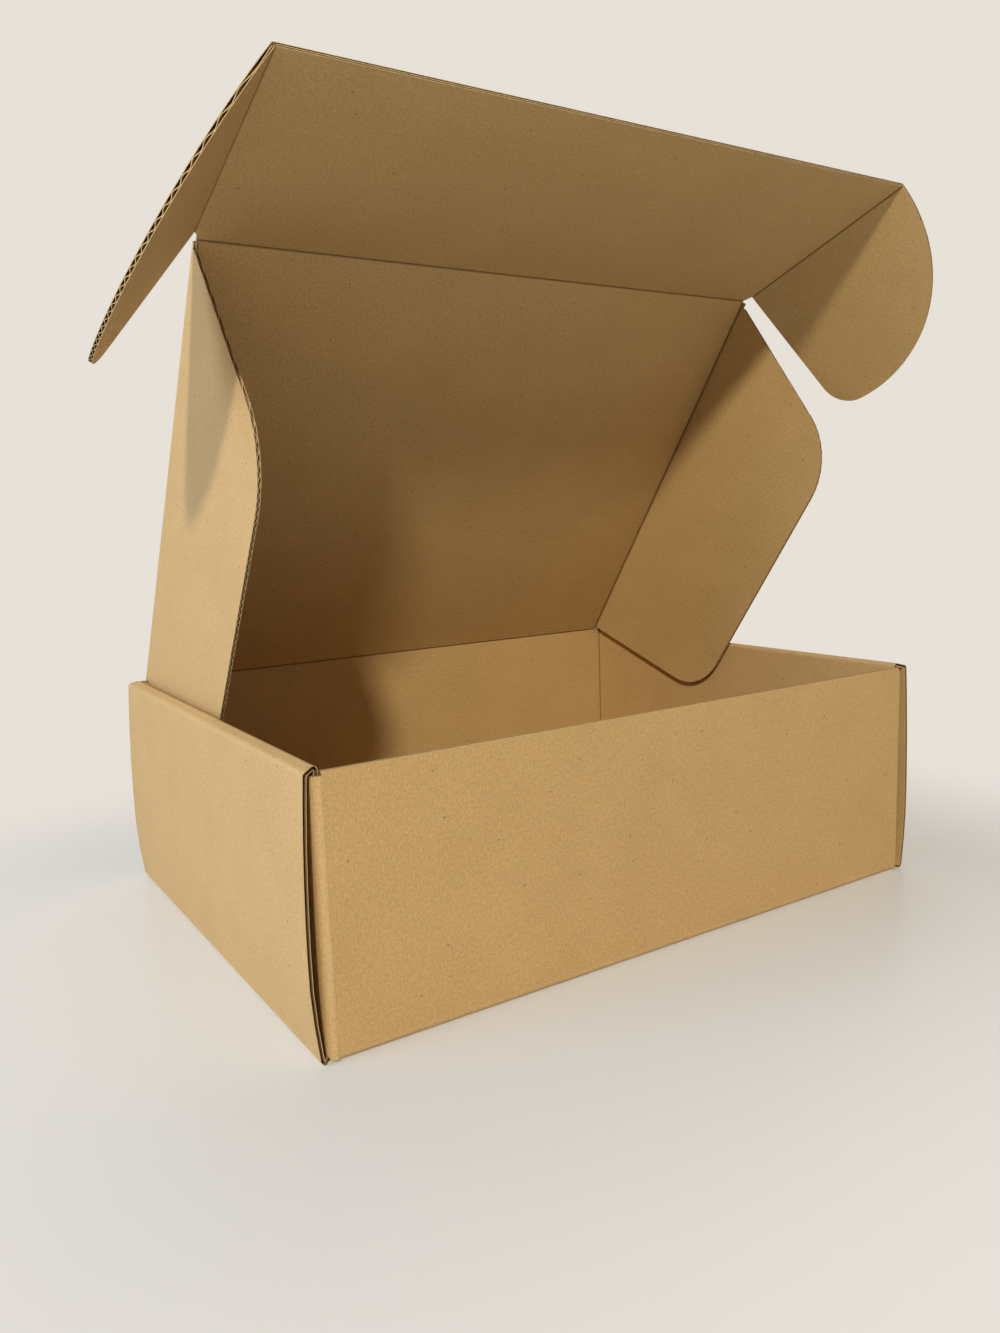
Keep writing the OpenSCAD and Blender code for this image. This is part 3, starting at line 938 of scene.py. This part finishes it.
paint, tree = blank_material("satin_table_lacquer")
where = add(tree, "ShaderNodeTexCoord").outputs["Object"]
cloud = add(tree, "ShaderNodeTexNoise", {"Vector": where, "Scale": 2.0, "Detail": 2.0})
shade = add(tree, "ShaderNodeMix", {
    MIX_SHARE: cloud.outputs[0], MIX_FIRST: linear("#E3E2E0"), MIX_SECOND: linear("#E9E8E6"),
}, data_type="RGBA")
lacquer = add(tree, "ShaderNodeBsdfPrincipled", {
    "Base Color": shade.outputs[MIX_RESULT], "Roughness": 0.28, "Specular IOR Level": 0.35,
})
beside = add(tree, "ShaderNodeVectorMath", {0: where}, operation="ABSOLUTE")
past = add(tree, "ShaderNodeVectorMath", {
    0: beside.outputs[0], 1: (*tray_high[:2], 0),
}, operation="SUBTRACT")
beyond = add(tree, "ShaderNodeVectorMath", {0: past.outputs[0], 1: (0, 0, 0)}, operation="MAXIMUM")
away = add(tree, "ShaderNodeVectorMath", {0: beyond.outputs[0]}, operation="LENGTH")
fade = add(tree, "ShaderNodeMapRange", {
    "Value": away.outputs["Value"], "From Min": FADE_FROM, "From Max": FADE_TO, "To Min": FADE_NEAR,
}, interpolation_type="SMOOTHSTEP")
far = add(tree, "ShaderNodeMath", {0: fade.outputs[0], 1: seen_rays(tree)}, operation="MULTIPLY")
wall = add(tree, "ShaderNodeEmission", {"Color": linear(PALE_WALL)})
stage_paint = add(tree, "ShaderNodeMixShader", {
    0: far.outputs[0], 1: lacquer.outputs[0], 2: wall.outputs[0],
})
add(tree, "ShaderNodeOutputMaterial", {"Surface": stage_paint.outputs[0]})
floor_mesh.materials.append(paint)
print("floor fades to", PALE_WALL, "from", FADE_FROM, "to", FADE_TO, "m off the box")

# %% [markdown]
# The main lamp stands to the upper left, a little behind the viewer, as the shadows in the lid show.
# A wide, cooler lamp at the left gives the pale look of the left side, as a window would. A weak,
# wide lamp in front and the world fill the shade evenly, and a soft lamp behind shows the lid's outer
# face to whoever walks round. Together they reach a plain level: a surface that faces the main lamp
# renders about in its written colour.

# %% Lamps
AIM = Vector((0, 0, 0.12))


def lamp(name, direction, distance, size, watts, colour):
    light = bpy.data.lights.new(name, "AREA")
    light.shape = "DISK"
    light.size = size
    light.energy = watts
    light.color = linear(colour)[:3]
    holder = bpy.data.objects.new(name, light)
    holder.location = AIM + Vector(direction).normalized() * distance
    holder.rotation_mode = "QUATERNION"
    holder.rotation_quaternion = (AIM - holder.location).to_track_quat("-Z", "Y")
    bpy.context.scene.collection.objects.link(holder)
    print(name, "lamp at", [round(x, 2) for x in holder.location])


lamp("key", (-0.519, -0.652, 0.552), distance=2.6, size=0.2, watts=49, colour="#FFFBEC")
lamp("side", (-0.95, 0.05, 0.3), distance=1.5, size=1.0, watts=13, colour="#C8DEFF")
lamp("front", (0.1, -1.0, 0.25), distance=2.5, size=1.5, watts=5.2, colour="#FFEADD")
lamp("back", (0.4, 0.75, 0.65), distance=2.5, size=1.8, watts=18, colour="#FFF8F0")

# %% [markdown]
# The world does two jobs. To the eye it is the same pale wall as the backdrop, so a view from any
# side stays plain. To the box it is only a faint fill, which keeps the shade in the tray deep.

# %% World
FILL = 0.02

world = bpy.data.worlds.new("studio")
bpy.context.scene.world = world
world.use_nodes = True
sky_tree = world.node_tree
sky_tree.nodes.clear()
fill = add(sky_tree, "ShaderNodeBackground", {"Color": linear("#F6F8FF"), "Strength": FILL})
backdrop = add(sky_tree, "ShaderNodeBackground", {"Color": linear(PALE_WALL), "Strength": 1.0})
sky = add(sky_tree, "ShaderNodeMixShader", {
    0: seen_rays(sky_tree), 1: fill.outputs[0], 2: backdrop.outputs[0],
})
add(sky_tree, "ShaderNodeOutputWorld", {"Surface": sky.outputs[0]})
print("world fill", FILL, "behind a wall of", PALE_WALL)

# %% [markdown]
# The camera stands where the photograph was taken: near the front left corner, well above the lid's
# crease, with a wide lens that makes the near corner loom. It was found by matching the corners of
# the tray and the creases in a 1000 by 1333 picture.

# %% Camera
IMAGE_TALL_PX = 1333
FOCAL_PX = 1016.9
SENSOR_MM = 36
CAMERA_AT = (-0.26835, -0.41178, 0.18046)
CAMERA_TURN, CAMERA_TILT, CAMERA_ROLL = 32.703, -8.774, -2.026

lens = bpy.data.cameras.new("photo_view")
lens.sensor_width = SENSOR_MM
lens.lens = FOCAL_PX / IMAGE_TALL_PX * SENSOR_MM
lens.clip_start = 0.01
camera = bpy.data.objects.new("photo_view", lens)
turn = Matrix.Rotation(-math.radians(CAMERA_TURN), 4, "Z")
tilt = Matrix.Rotation(math.radians(90 + CAMERA_TILT), 4, "X")
roll = Matrix.Rotation(math.radians(CAMERA_ROLL), 4, "Z")
camera.matrix_world = Matrix.Translation(CAMERA_AT) @ turn @ tilt @ roll
bpy.context.scene.collection.objects.link(camera)
bpy.context.scene.camera = camera
bpy.context.scene.view_settings.view_transform = "Standard"
print("camera right", [round(x, 4) for x in camera.matrix_world.col[0][:3]])
